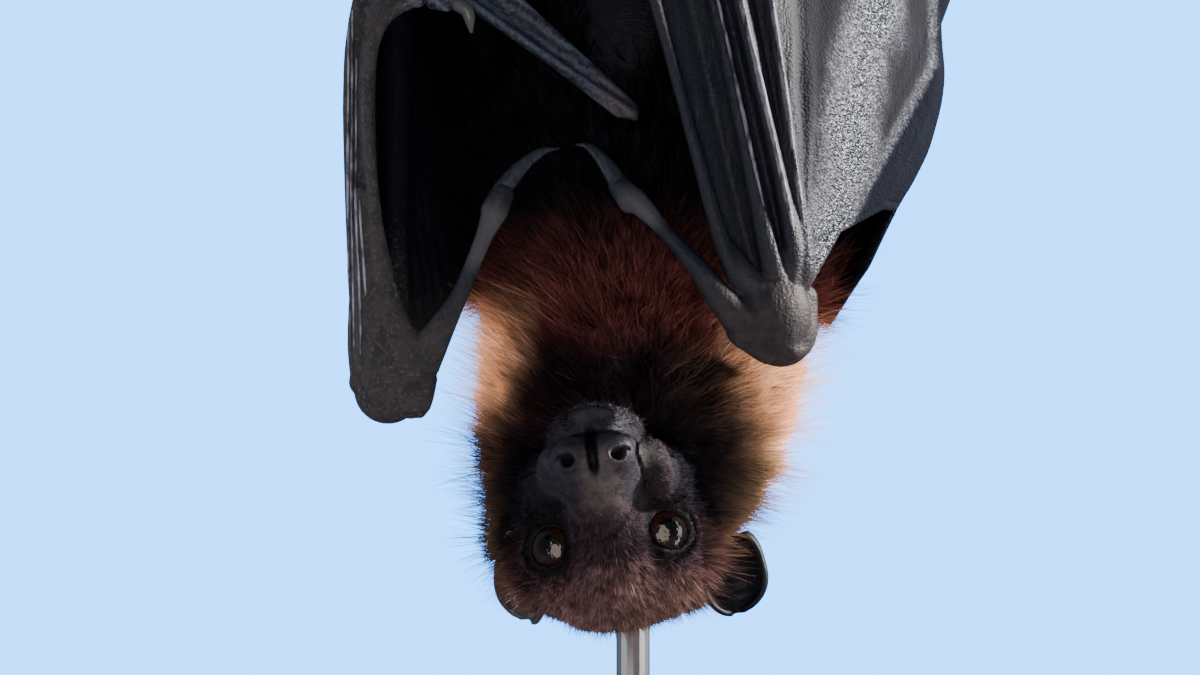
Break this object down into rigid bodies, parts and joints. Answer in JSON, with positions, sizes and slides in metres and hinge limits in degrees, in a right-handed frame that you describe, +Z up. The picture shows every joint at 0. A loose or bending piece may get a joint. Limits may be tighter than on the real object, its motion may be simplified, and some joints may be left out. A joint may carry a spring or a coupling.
{
  "type": "fruit bat",
  "caption": "Life-size black fruit bat with a rusty mantle, hanging head down by its feet from a short length of branch, wings folded, on a plain display stand.",
  "frame": {"origin": "middle of the stand base's underside", "axes": "+Z up. The bat hangs head down with its belly and face to -Y, so +X is its own right side."},
  "size_m": [0.22, 0.18, 0.4213],
  "materials": {
    "dark_coat": "short dense black-brown fur, paler at the tips of the crown",
    "mantle_coat": "longer golden-brown to chestnut fur round the neck and shoulders",
    "wing_skin": "black, semi-gloss, finely wrinkled and pleated",
    "bare_skin": "dark, soft, half matt",
    "claw": "dark horn with a worn pale tip",
    "eye": "dark red-brown iris and black pupil under a clear gloss",
    "branch": "rough grey-brown bark with sawn ends",
    "stand_wood": "dark stained, satin",
    "stand_metal": "satin"
  },
  "bodies": {
    "root": {"arm_membrane_left": "wing_skin", "arm_membrane_right": "wing_skin", "back_membrane_left": "wing_skin", "back_membrane_right": "wing_skin", "belly": "dark_coat", "chest": "dark_coat", "ear_left": "bare_skin", "ear_right": "bare_skin", "elbow_membrane_left": "wing_skin", "elbow_membrane_right": "wing_skin", "eye_left": "eye", "eye_right": "eye", "finger_claw_left": "claw", "finger_claw_right": "claw", "finger_fold_left": "wing_skin", "finger_fold_right": "wing_skin", "foot_left": "bare_skin", "foot_right": "bare_skin", "forearm_left": "wing_skin", "forearm_right": "wing_skin", "hand_left": "wing_skin", "hand_right": "wing_skin", "head": "dark_coat", "neck": "mantle_coat", "perch": "branch", "shin_left": "dark_coat", "shin_right": "dark_coat", "stand_base": "stand_wood", "stand_rod": "stand_metal", "thigh_left": "dark_coat", "thigh_right": "dark_coat", "thumb_claw_left": "claw", "thumb_claw_right": "claw", "thumb_left": "wing_skin", "thumb_right": "wing_skin", "upper_arm_left": "dark_coat", "upper_arm_right": "dark_coat"}
  },
  "joints": []
}
